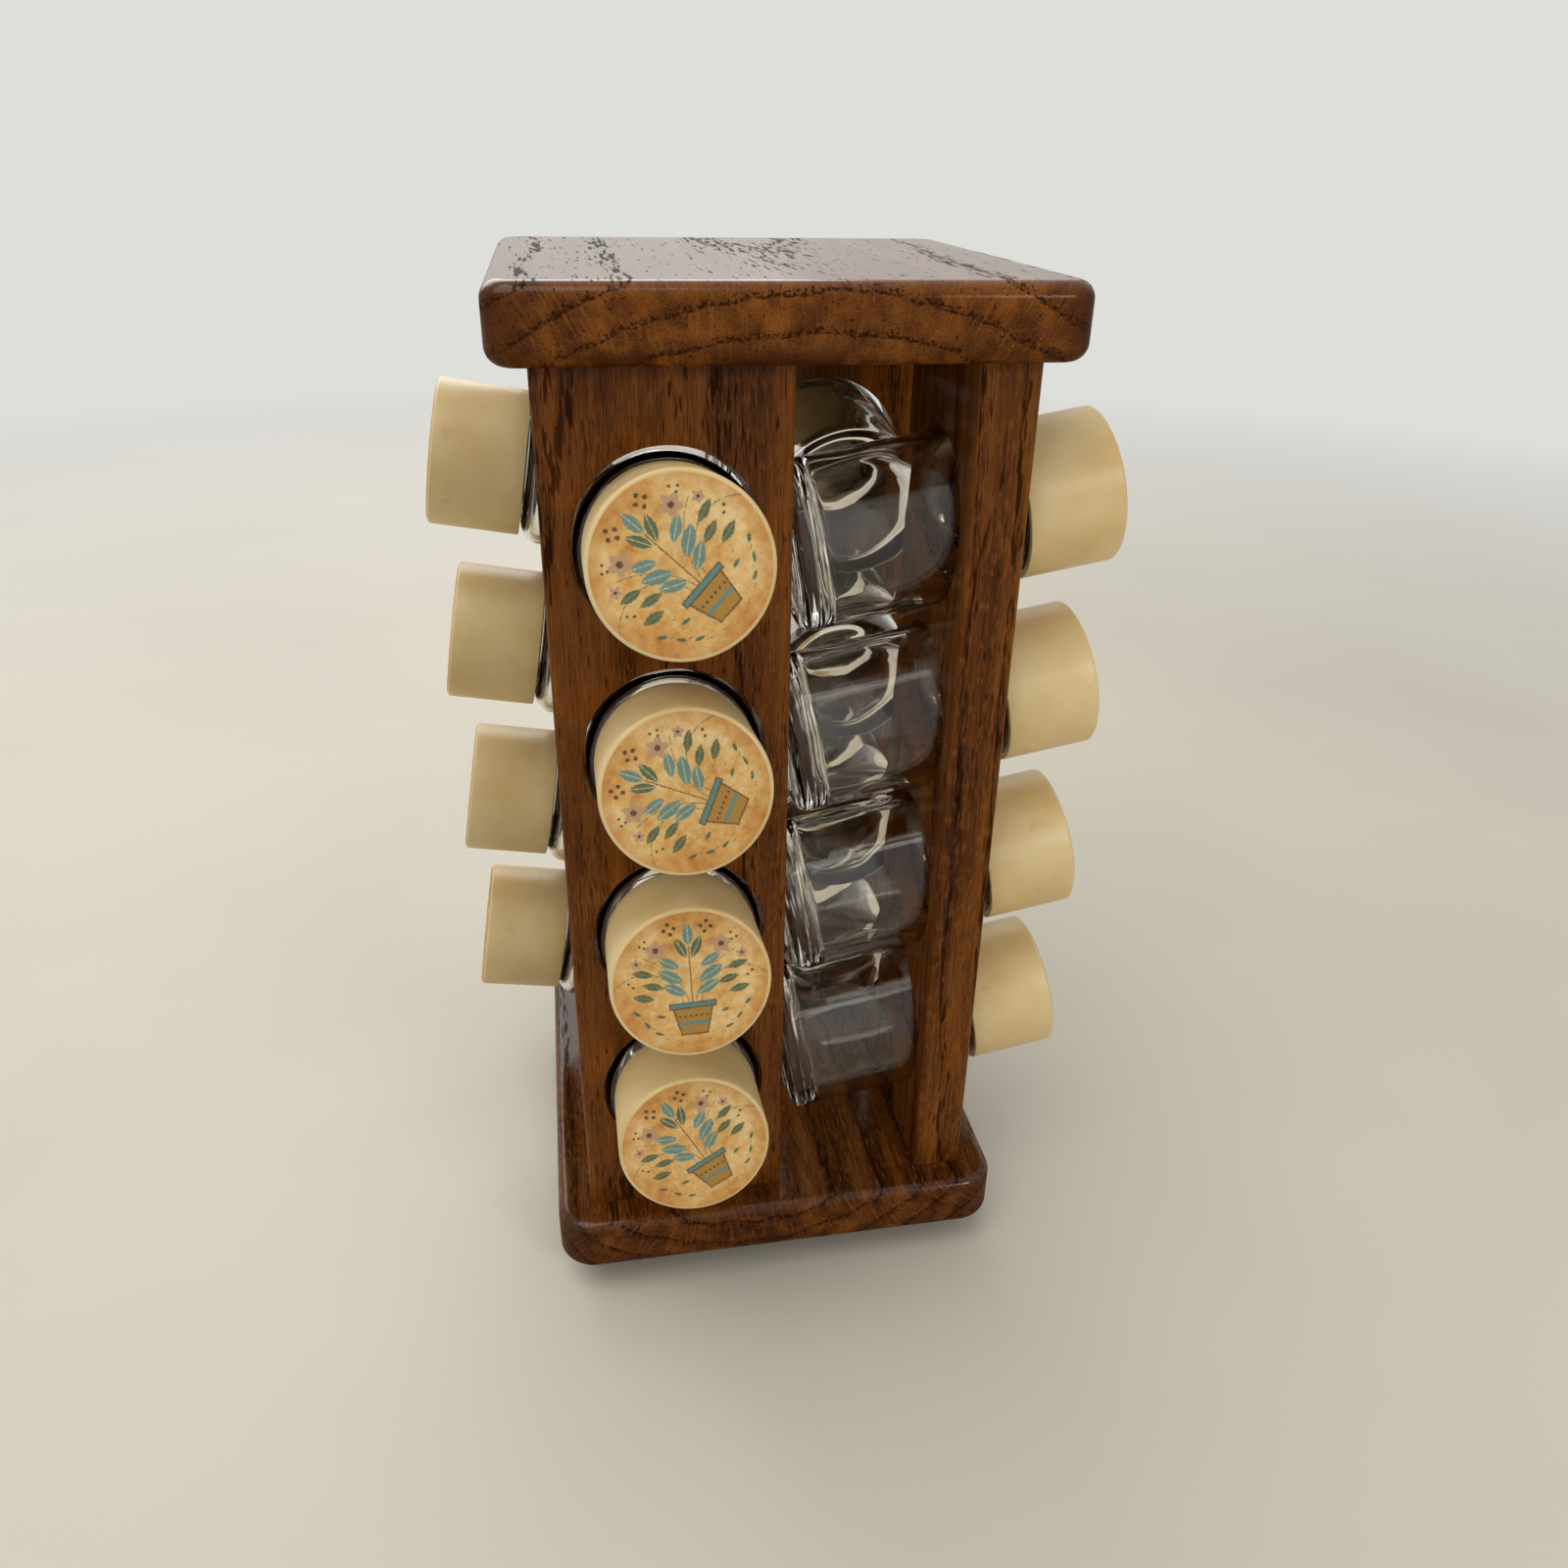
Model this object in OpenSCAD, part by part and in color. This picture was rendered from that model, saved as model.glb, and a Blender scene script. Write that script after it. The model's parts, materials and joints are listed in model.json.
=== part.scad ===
// Four-sided spice rack of stained oak. It turns on a ball swivel and holds glass jars with tall
// screw caps in slanted bores. Sizes are in millimetres and +Z is up. The origin is on the turning
// axis, on the surface that the feet stand on, and the front upright faces -Y.

/* [Uprights] */
// Width across the uprights, from outer face to outer face
body_w = 128; // [122:1:150]
// Height of an upright
board_h = 269; // [255:1:320]
// Width of an upright
board_w = 64.5; // [60:0.5:68]
// Thickness of an upright
board_t = 16.5; // [13:0.5:20]
// Radius of an upright's eased corners
board_edge_r = 2; // [0.5:0.25:4]

/* [Jar bores] */
// Distance between the bores of a column
bore_pitch = 59; // [56:0.5:62]
// Height of the column's middle above the middle of the upright
column_rise = 1; // [-3:0.5:3]
// Slant of a bore, with its outer end up
bore_tilt = 10; // [4:0.5:14]
// Bore diameter less jar diameter
bore_play = 1.8; // [1:0.1:3]

/* [Top plate] */
// How far the top plate stands out past the uprights
top_overhang = 9.5; // [4:0.5:20]
// Thickness of the top plate
top_t = 19; // [15:0.5:28]
// Radius of the top plate's corners, seen from above
top_corner_r = 8; // [6:0.5:16]
// Radius of the top plate's rounded edges
top_edge_r = 4.5; // [1:0.25:5.5]

/* [Base plate] */
// How far the base plate stands out past the uprights
base_overhang = 10.75; // [4:0.25:24]
// Thickness of the base plate
base_t = 19; // [17:0.5:28]
// Radius of the base plate's corners, seen from above
base_corner_r = 12; // [6:0.5:20]
// Radius of the base plate's rounded edges
base_edge_r = 3.5; // [1:0.25:5.5]

/* [Dowels] */
// Diameter of a dowel
dowel_d = 8; // [5:0.5:9]
// Length of a dowel
dowel_l = 26; // [20:0.5:28]
// Depth of a dowel in a plate
dowel_in_plate = 12; // [9:0.5:13]
// Distance between the two dowels of a joint
dowel_gap = 40; // [30:1:46]

/* [Jar] */
// Diameter of the glass body
jar_d = 49; // [45:0.5:53]
// Height from the base to the top of the shoulder
jar_body_h = 66; // [58:0.5:80]
// Radius of the shoulder
shoulder_r = 6; // [3:0.25:7]
// Radius round the foot of the jar
heel_r = 3.5; // [1.5:0.25:6]
// Thickness of the glass wall
jar_wall = 2.4; // [1.5:0.1:3.5]
// Thickness of the glass bottom
jar_bottom = 6; // [4:0.25:10]
// Radius of the hollow inside where wall and bottom meet
inner_heel_r = 5; // [2:0.25:8]
// Height of the dish pressed up under the bottom
punt_rise = 1.5; // [0.5:0.1:2.5]
// Width of the ring that the jar stands on, from the heel to the dish
punt_ring = 3.5; // [2:0.25:6]
// Thickness of the glass neck
neck_wall = 2.4; // [1.8:0.1:3.5]
// Radius of the rounded lip
lip_r = 1; // [0.3:0.1:1.1]

/* [Cap] */
// Diameter of a cap
cap_d = 44.8; // [41:0.2:48]
// Height of a cap
cap_h = 28; // [22:0.5:36]
// Thickness of the cap's side wall
cap_wall = 2; // [1.4:0.1:3]
// Thickness of the cap's end wall
cap_end = 1.8; // [1.2:0.1:3]
// Radius round the cap's closed end
cap_edge_r = 0.9; // [0.3:0.1:1.1]
// Room between neck and cap for the screw thread
thread_room = 2.1; // [1:0.1:3]
// Depth of the ring inside the cap that closes on the lip
seal_depth = 4.4; // [2:0.2:7]
// Thickness of that ring
seal_t = 1.6; // [0.8:0.1:2]

/* [Label] */
// Width of the cap's rim left bare round the label
label_margin = 1.1; // [0.9:0.1:5]
// Thickness of the label
label_t = 0.25; // [0.15:0.05:0.5]

/* [Swivel] */
// Diameter of the ring of balls
race_d = 48; // [36:1:70]
// Diameter of a ball
ball_d = 5; // [4:0.25:8]
// Thickness of the bearing plates
sheet_t = 1.2; // [0.8:0.1:2]
// Diameter of the hole in the middle of the bearing plates
swivel_hole_d = 26; // [10:1:30]
// Diameter of a screw's head
screw_head_d = 6.4; // [5:0.2:9]
// Diameter of a screw's shank
screw_d = 3.6; // [2.4:0.1:4.5]
// Length of a screw under its head
screw_l = 13; // [8:0.5:16]
// Diameter of a rubber foot
foot_d = 13; // [9:0.5:17]
// Height of a rubber foot under the lower plate
foot_h = 3; // [2:0.25:8]
// Diameter of the stem that holds a foot in its hole
foot_stem_d = 5; // [3:0.25:7]
// Diameter of the button above that stem
foot_button_d = 8; // [7.5:0.25:11]
// Height of that button
foot_button_h = 1.4; // [0.8:0.1:2]

/* [Fits] */
// Gap between a jar and the bottom of its bore
jar_seat_gap = 0.3; // [0.1:0.05:0.4]
// Gap between a jar's foot and the edge of the next upright
jar_stop_gap = 0.3; // [0.1:0.05:1]
// Gap between a cap's rim and the jar's shoulder
cap_rim_gap = 0.5; // [0.3:0.1:3]
// Gap between the ring inside a cap and the lip
cap_seat_gap = 0.25; // [0.1:0.05:0.5]
// Play of a ball in its race
race_play = 0.15; // [0.05:0.05:0.3]
// Radial fit of dowels, screws and foot stems in their holes
pin_fit = 0.05; // [0.02:0.01:0.15]
// Gap left at the blind end of a hole
hole_end_gap = 0.5; // [0.2:0.1:1.5]
// Room beside a screw's head, to the race and to the edge of its plate
screw_room = 1.8; // [0.8:0.1:4]
// Room round a screw's head in the hole that a screwdriver reaches it through
access_room = 0.9; // [0.4:0.1:1.5]

/* [Hidden] */
$fn = 96;
SIDES = ["front", "right", "back", "left"];
LEVELS = 4;
JAR_NODES = [for (piece = ["jar", "cap", "label"], side = SIDES, n = [1:LEVELS])
    str(piece, "_", side, "_", n)];

// Small overlap that carries a cut past a face
cut = 1;

// Turned and pressed parts
neck_d = cap_d - 2 * (cap_wall + thread_room);
neck_bore_d = neck_d - 2 * neck_wall;
neck_h = cap_h + cap_rim_gap - cap_end - seal_depth - cap_seat_gap;
jar_h = jar_body_h + neck_h;
cap_z = jar_body_h + cap_rim_gap;
bore_d = jar_d + bore_play;
jar_drop = bore_play / 2 - jar_seat_gap;

// A jar slides in until its foot meets the near edge of the next upright. The edge crosses the
// foot beside the jar's axis, and the slant brings the upper part of the foot nearest to it.
foot_offset = board_w / 2 - board_t;
function foot_height(r) = sqrt(max(0, r * r - foot_offset * foot_offset));
function foot_reach(turn) = foot_height(jar_d / 2 - heel_r * (1 - sin(turn))) * sin(bore_tilt)
    - heel_r * (1 - cos(turn)) * cos(bore_tilt);
jar_reach = (body_w - board_w - jar_stop_gap + jar_drop * sin(bore_tilt)
    - max([for (turn = [0:5:90]) foot_reach(turn)])) / cos(bore_tilt);

// Swivel, from the surface up to the base plate
race_r = ball_d / 2 + race_play;
hook_r = race_r + sheet_t;
hook_top = 35;
ball_step = 1.25 * ball_d;
bearing_h = 2 * hook_r;
ball_z = foot_h + hook_r;
ball_count = floor(PI * race_d / ball_step);
screw_band = screw_head_d + 2 * screw_room;
swivel_side = race_d + 2 * hook_r + 2 * screw_band;
swivel_corner_r = 5;
screw_place = race_d / 2 + hook_r + screw_band / 2;
screw_head_h = 0.34 * screw_head_d;
access_d = screw_head_d + 2 * access_room;
foot_place = swivel_side / 2 - foot_d / 2;
foot_edge_r = 1;

// Heights of the wooden parts
base_z = foot_h + bearing_h;
upright_z = base_z + base_t;
top_z = upright_z + board_h;

function bore_z(n) = upright_z + board_h / 2 + column_rise + ((LEVELS + 1) / 2 - n) * bore_pitch;

// Places its children on one side of the rack, drawn as the front
module on_side(side) rotate([0, 0, 90 * side]) children();

// Outer end of a bore: +Z runs out along the bore
module at_bore(n)
    translate([-(body_w - board_w) / 2, -body_w / 2, bore_z(n)])
        rotate([90 - bore_tilt, 0, 0]) children();

// Foot of a jar that rests in its bore
module at_jar(side, n)
    on_side(side) at_bore(n) translate([0, -jar_drop, -jar_reach]) children();

module rounded_rect(w, d, r) {
    translate([r, 0]) square([w - 2 * r, d]);
    translate([0, r]) square([w, d - 2 * r]);
    for (x = [r, w - r], y = [r, d - r]) translate([x, y]) circle(r);
}

// Dowel places of the front upright
module at_dowels(z)
    for (x = [-1, 1])
        translate([-(body_w - board_w) / 2 + x * dowel_gap / 2, -(body_w - board_t) / 2, z]) children();

// Edge of a plate: w wide, with its outer side rounded
module plate_edge(w, t, r) intersection() {
    square([w, t]);
    union() {
        square([w - r, t]);
        translate([0, r]) square([w, t - 2 * r]);
        for (y = [r, t - r]) translate([w - r, y]) circle(r);
    }
}

// Square plate with round corners and rounded edges, from straight and turned runs of one edge
module rounded_plate(side, t, corner_r, edge_r) {
    run = side - 2 * corner_r;
    translate([-run / 2, -run / 2, 0]) cube([run, run, t]);
    for (a = [0:90:270]) rotate([0, 0, a]) {
        translate([run / 2, run / 2, 0]) rotate([90, 0, 0])
            linear_extrude(run) plate_edge(corner_r, t, edge_r);
        translate([run / 2, run / 2, 0]) rotate_extrude(angle = 90) plate_edge(corner_r, t, edge_r);
    }
}

module top_plate() color("sienna") difference() {
    translate([0, 0, top_z]) rounded_plate(body_w + 2 * top_overhang, top_t, top_corner_r, top_edge_r);
    for (side = [0:3]) on_side(side) at_dowels(top_z - cut)
        cylinder(h = dowel_in_plate + hole_end_gap + cut, d = dowel_d + 2 * pin_fit);
}

module base_plate() color("sienna") difference() {
    translate([0, 0, base_z])
        rounded_plate(body_w + 2 * base_overhang, base_t, base_corner_r, base_edge_r);
    for (side = [0:3]) on_side(side) {
        at_dowels(upright_z - dowel_in_plate - hole_end_gap)
            cylinder(h = dowel_in_plate + hole_end_gap + cut, d = dowel_d + 2 * pin_fit);
        translate([screw_place, 0, base_z - cut])
            cylinder(h = screw_l - sheet_t + hole_end_gap + cut, d = screw_d + 2 * pin_fit);
    }
}

// Upright drawn as the front one, with its column of slanted bores
module board(side) color("saddlebrown") on_side(side) difference() {
    translate([-body_w / 2, -body_w / 2, upright_z])
        linear_extrude(board_h) rounded_rect(board_w, board_t, board_edge_r);
    for (n = [1:LEVELS]) at_bore(n)
        translate([0, 0, -2 * board_t]) cylinder(h = 3 * board_t, d = bore_d);
    dowel_in_board = dowel_l - dowel_in_plate + hole_end_gap;
    for (z = [upright_z - cut, top_z - dowel_in_board])
        at_dowels(z) cylinder(h = dowel_in_board + cut, d = dowel_d + 2 * pin_fit);
}

module dowels() color("burlywood") for (side = [0:3]) on_side(side)
    for (z = [upright_z - dowel_in_plate, top_z + dowel_in_plate - dowel_l])
        at_dowels(z) cylinder(h = dowel_l, d = dowel_d);

// Right half of the outline of a round body between two heights, with round corners
module turned_body(r, z_low, z_high, r_low, r_high) {
    translate([0, z_low]) square([r - r_low, r_low]);
    translate([0, z_low + r_low]) square([r, z_high - z_low - r_low - r_high]);
    translate([0, z_high - r_high]) square([r - r_high, r_high]);
    translate([r - r_low, z_low + r_low]) circle(r_low);
    translate([r - r_high, z_high - r_high]) circle(r_high);
}

// Glass jar on its own foot, with a thick bottom, a dish under it and a plain neck
module jar() {
    body_r = jar_d / 2;
    punt_r = body_r - heel_r - punt_ring;
    dish_r = (punt_r * punt_r + punt_rise * punt_rise) / (2 * punt_rise);
    inner_shoulder_r = max(shoulder_r - jar_wall, 0.5);
    color("aliceblue", 0.5) rotate_extrude() difference() {
        union() {
            turned_body(body_r, 0, jar_body_h, heel_r, shoulder_r);
            translate([0, jar_body_h - shoulder_r])
                square([neck_d / 2, neck_h + shoulder_r - lip_r]);
            translate([0, jar_h - lip_r]) square([neck_d / 2 - lip_r, lip_r]);
            translate([neck_d / 2 - lip_r, jar_h - lip_r]) circle(lip_r);
        }
        turned_body(body_r - jar_wall, jar_bottom, jar_body_h - jar_wall, inner_heel_r, inner_shoulder_r);
        translate([0, jar_body_h - jar_wall - cut]) square([neck_bore_d / 2, neck_h + jar_wall + 2 * cut]);
        intersection() {
            translate([0, punt_rise - dish_r]) circle(dish_r, $fn = 360);
            translate([0, -cut]) square([punt_r, punt_rise + 2 * cut]);
        }
    }
}

// Screw cap, with the ring inside that closes on the lip
module cap() {
    inner_r = cap_d / 2 - cap_wall;
    ceiling = cap_h - cap_end;
    seal_mid = (neck_d - neck_wall) / 2;
    color("wheat") rotate_extrude() {
        difference() {
            union() {
                square([cap_d / 2, cap_h - cap_edge_r]);
                translate([0, cap_h - cap_edge_r]) square([cap_d / 2 - cap_edge_r, cap_edge_r]);
                translate([cap_d / 2 - cap_edge_r, cap_h - cap_edge_r]) circle(cap_edge_r);
            }
            translate([0, -cut]) square([inner_r, ceiling + cut]);
        }
        translate([seal_mid - seal_t / 2, ceiling - seal_depth]) square([seal_t, seal_depth + cap_end / 2]);
    }
}

module label() color("gold") cylinder(h = label_t, r = cap_d / 2 - label_margin);

// Bearing plate with its hooked race round the ring of balls, hook outwards. The hook closes
// over the balls, and the turned-over twin above grips them from inside.
module race_hook(from, to, r_in, r_out)
    intersection() {
        difference() {
            circle(r_out);
            circle(r_in);
        }
        polygon(concat([[0, 0]], [for (a = [from:(to - from) / 4:to]) 2 * r_out * [cos(a), sin(a)]]));
    }

module bearing_sheet(z) translate([0, 0, z]) linear_extrude(sheet_t) difference() {
    translate([-swivel_side / 2, -swivel_side / 2])
        rounded_rect(swivel_side, swivel_side, swivel_corner_r);
    circle(d = swivel_hole_d);
}

module race_ring(from, to) translate([0, 0, ball_z]) rotate_extrude()
    translate([race_d / 2, 0]) race_hook(from, to, race_r, hook_r);

module swivel_lower_plate() color("silver") difference() {
    union() {
        bearing_sheet(foot_h);
        race_ring(-90, hook_top);
    }
    for (side = [0:3]) on_side(side) translate([foot_place, foot_place, foot_h - cut])
        cylinder(h = sheet_t + 2 * cut, d = foot_stem_d + 2 * pin_fit);
    translate([0, -screw_place, foot_h - cut]) cylinder(h = sheet_t + 2 * cut, d = access_d);
}

module swivel_upper_plate() color("silver") difference() {
    union() {
        bearing_sheet(base_z - sheet_t);
        race_ring(90, 180 + hook_top);
    }
    for (side = [0:3]) on_side(side) translate([screw_place, 0, base_z - sheet_t - cut])
        cylinder(h = sheet_t + 2 * cut, d = screw_d + 2 * pin_fit);
}

module swivel_balls() color("lightgray") for (k = [0:ball_count - 1])
    rotate([0, 0, 360 * k / ball_count]) translate([race_d / 2, 0, ball_z]) sphere(d = ball_d);

// Pan head screw driven upwards, with a cross recess in its head
module swivel_screws() {
    tip = screw_d;
    recess_l = 0.6 * screw_head_d;
    recess_w = 0.16 * screw_head_d;
    recess_h = 0.5 * screw_head_h;
    color("silver") for (side = [0:3]) on_side(side)
        translate([screw_place, 0, base_z - sheet_t]) difference() {
            rotate_extrude() {
                translate([0, -screw_head_h]) square([screw_head_d / 2 - screw_head_h / 2, screw_head_h]);
                intersection() {
                    translate([screw_head_d / 2 - screw_head_h / 2, -screw_head_h / 2])
                        circle(screw_head_h / 2);
                    translate([0, -screw_head_h]) square([screw_head_d, screw_head_h]);
                }
                square([screw_d / 2, screw_l - tip]);
                translate([0, screw_l - tip]) polygon([[0, 0], [screw_d / 2, 0], [0, tip]]);
            }
            for (size = [[recess_l, recess_w], [recess_w, recess_l]])
                translate([-size[0] / 2, -size[1] / 2, -screw_head_h - cut])
                    cube([size[0], size[1], recess_h + cut]);
        }
}

module rubber_feet() color("dimgray") for (side = [0:3]) on_side(side)
    translate([foot_place, foot_place, 0]) rotate_extrude() {
        square([foot_d / 2 - foot_edge_r, foot_h]);
        translate([0, foot_edge_r]) square([foot_d / 2, foot_h - foot_edge_r]);
        translate([foot_d / 2 - foot_edge_r, foot_edge_r]) circle(foot_edge_r);
        translate([0, foot_h]) square([foot_stem_d / 2, sheet_t]);
        translate([0, foot_h + sheet_t]) square([foot_button_d / 2, foot_button_h]);
    }

top_plate();
base_plate();
dowels();
swivel_upper_plate();
swivel_lower_plate();
swivel_balls();
swivel_screws();
rubber_feet();
for (side = [0:3]) {
    board(side);
    for (n = [1:LEVELS]) {
        place = str(SIDES[side], "_", n);
        at_jar(side, n) jar();
        at_jar(side, n) translate([0, 0, cap_z]) cap();
        at_jar(side, n) translate([0, 0, cap_z + cap_h]) label();
    }
}
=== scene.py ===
"""Finishes for a revolving oak spice rack with glass jars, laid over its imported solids."""

import json
import math
from collections import namedtuple

import bpy
from mathutils import Matrix, Vector


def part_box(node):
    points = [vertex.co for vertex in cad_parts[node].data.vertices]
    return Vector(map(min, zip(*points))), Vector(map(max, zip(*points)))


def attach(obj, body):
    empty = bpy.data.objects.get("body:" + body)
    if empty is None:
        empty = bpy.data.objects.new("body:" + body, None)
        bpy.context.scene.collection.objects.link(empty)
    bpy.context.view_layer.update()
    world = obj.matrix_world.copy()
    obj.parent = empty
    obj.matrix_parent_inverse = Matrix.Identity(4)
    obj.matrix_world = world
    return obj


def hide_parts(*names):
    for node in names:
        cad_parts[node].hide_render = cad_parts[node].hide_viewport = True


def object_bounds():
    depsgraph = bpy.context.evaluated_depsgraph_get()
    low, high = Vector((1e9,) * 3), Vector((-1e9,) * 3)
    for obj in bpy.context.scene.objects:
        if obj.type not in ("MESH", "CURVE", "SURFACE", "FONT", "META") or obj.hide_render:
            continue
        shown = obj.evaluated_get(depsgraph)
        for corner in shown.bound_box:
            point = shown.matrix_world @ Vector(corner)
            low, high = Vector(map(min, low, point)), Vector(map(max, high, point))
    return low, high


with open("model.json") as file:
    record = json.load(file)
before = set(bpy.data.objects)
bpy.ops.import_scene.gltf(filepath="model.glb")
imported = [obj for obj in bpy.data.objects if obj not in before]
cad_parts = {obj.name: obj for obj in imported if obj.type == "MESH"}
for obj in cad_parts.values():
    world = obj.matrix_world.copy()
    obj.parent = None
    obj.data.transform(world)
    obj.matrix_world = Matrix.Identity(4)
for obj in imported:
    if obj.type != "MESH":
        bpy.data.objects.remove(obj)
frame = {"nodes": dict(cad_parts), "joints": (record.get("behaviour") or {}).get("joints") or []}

cad_low, cad_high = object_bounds()

bl_info = {
    "name": "Oak Spice Rack",
    "version": (1, 0, 0),
    "blender": (4, 5, 0),
    "location": "View3D > Sidebar > Spice Rack",
    "description": "Gives an oak spice rack its wood, glass, caps, labels, swivel and studio",
    "category": "Object",
}

MM = 0.001
SIDES = ("front", "right", "back", "left")
LEVELS = (1, 2, 3, 4)
PLACES = tuple(f"{side}_{level}" for side in SIDES for level in LEVELS)

# Camera, fitted to the corners of the plates and uprights
CAMERA_AT = (-0.0577, -0.3704, 0.3458)
CAMERA_PITCH = math.radians(27.51)
CAMERA_YAW = math.radians(-10.50)
CAMERA_ROLL = math.radians(1.065)
CAMERA_LENS = 28.28

# A jar, in millimetres, from its foot up. Its thread's length and fade are in turns
BODY_R = 24.5
BODY_H = 66.0
SHOULDER_R = 6.0
HEEL_R = 3.5
GLASS_WALL = 2.4
GLASS_BOTTOM = 6.0
INNER_HEEL_R = 5.0
PUNT_RISE = 1.5
PUNT_RING = 3.5
NECK_R = 18.3
NECK_BORE_R = 15.9
JAR_H = 88.05
LIP_R = 1.0
THROAT_R = 1.2
THREAD_H = 1.1
THREAD_PITCH = 4.6
THREAD_W = 1.15
THREAD_LOW = 71.0
THREAD_TURNS = 1.6
THREAD_FADE = 0.12
UNEVENNESS = 0.6
UNEVEN_SPAN = 11.0

# A cap, in millimetres, from its rim up
CAP_R = 22.4
CAP_H = 28.0
CAP_WALL = 2.0
CAP_END = 1.8
CAP_EDGE_R = 0.9
CAP_RIM_R = 0.35
SEAL_MID = 17.1
SEAL_T = 1.6
SEAL_DEPTH = 4.4

# A label, in millimetres
LABEL_R = 21.3
LABEL_T = 0.25
LABEL_EDGE = 0.06

# A label's print, in label radii, and its flowers
INK_EDGE = 0.014
VEIN_W = 0.010
PETALS = 5

# How far each jar is turned in its bore, with its cap and label, in degrees
TURNS = (47, 68, 2, 30, 118, -20, 75, 201, 33, -97, 156, 12, 88, -140, 47, -5)

# Studio, in metres, apart from the floor's height and the distances over which it fades
FLOOR_SIZE = 16.0
FLOOR_Z = -0.3
FLOOR_FADE = (650, 1700)
AIR_COLOUR = (0.96, 0.98, 1.0)
AIR_LIGHT = 0.40
LAMPS = (
    # name, place, width, height, watts, colour
    ("window", (-0.35, 1.35, 1.0), 1.5, 0.9, 10.0, (1.0, 0.99, 0.97)),
    ("ceiling", (-0.55, -0.35, 1.5), 1.2, 1.2, 10.0, (1.0, 0.96, 0.90)),
    ("room", (0.7, -1.3, 0.9), 0.4, 0.3, 5.0, (1.0, 0.95, 0.88)),
)

# The oak that each piece is cut from, in millimetres, and how much darker its colour is painted than the
# rest, as painted shade
Blank = namedtuple("Blank", "upright pith lean first seed stain", defaults=(0.0,))
BLANKS = {
    "front_board": Blank(True, (-44.5, 4.0), (0.02, 0.03), 69.0, 1.3),
    "right_board": Blank(True, (-14.0, -28.0), (-0.02, 0.03), 70.0, 4.1),
    "back_board": Blank(True, (20.0, -8.0), (0.03, -0.02), 66.0, 7.7),
    "left_board": Blank(True, (4.0, 30.0), (0.03, 0.02), 63.0, 11.9),
    "top_plate": Blank(False, (4.5, 195.5), (0.02, 0.018), 121.0, 17.2),
    # The base plate's last number darkens its whole colour as painted shade
    "base_plate": Blank(False, (-12.0, 96.0), (-0.03, 0.02), 70.0, 23.6, 0.10),
}

# Widest ring that closes to a point when a turned piece is merged, in millimetres
POLE = 0.01


def srgb(red, green, blue):
    """A linear colour from its 8-bit screen values."""
    def channel(value):
        value /= 255
        return value / 12.92 if value <= 0.04045 else ((value + 0.055) / 1.055) ** 2.4
    return channel(red), channel(green), channel(blue)


class Value:
    """A number or vector in a material's nodes. Arithmetic on it adds Math nodes."""

    def __init__(self, look, socket):
        self.look = look
        self.socket = socket

    def math(self, operation, *values, clamp=False):
        settings = {"operation": operation, "use_clamp": clamp}
        return self.look.node("ShaderNodeMath", settings, dict(enumerate(values)))

    def __add__(self, other):
        return self.math("ADD", self, other)

    def __radd__(self, other):
        return self.math("ADD", other, self)

    def __sub__(self, other):
        return self.math("SUBTRACT", self, other)

    def __rsub__(self, other):
        return self.math("SUBTRACT", other, self)

    def __mul__(self, other):
        return self.math("MULTIPLY", self, other)

    def __rmul__(self, other):
        return self.math("MULTIPLY", other, self)

    def __truediv__(self, other):
        return self.math("DIVIDE", self, other)

    def __abs__(self):
        return self.math("ABSOLUTE", self)

    def root(self):
        return self.math("SQRT", self)

    def fraction(self):
        return self.math("FRACT", self)

    def least(self, other):
        return self.math("MINIMUM", self, other)

    def most(self, other):
        return self.math("MAXIMUM", self, other)

    def ramp(self, low, high):
        """0 at low and 1 at high, which may be the smaller of the two."""
        scale = 1.0 / (high - low)
        return self.math("MULTIPLY_ADD", self, scale, -low * scale, clamp=True)


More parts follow.
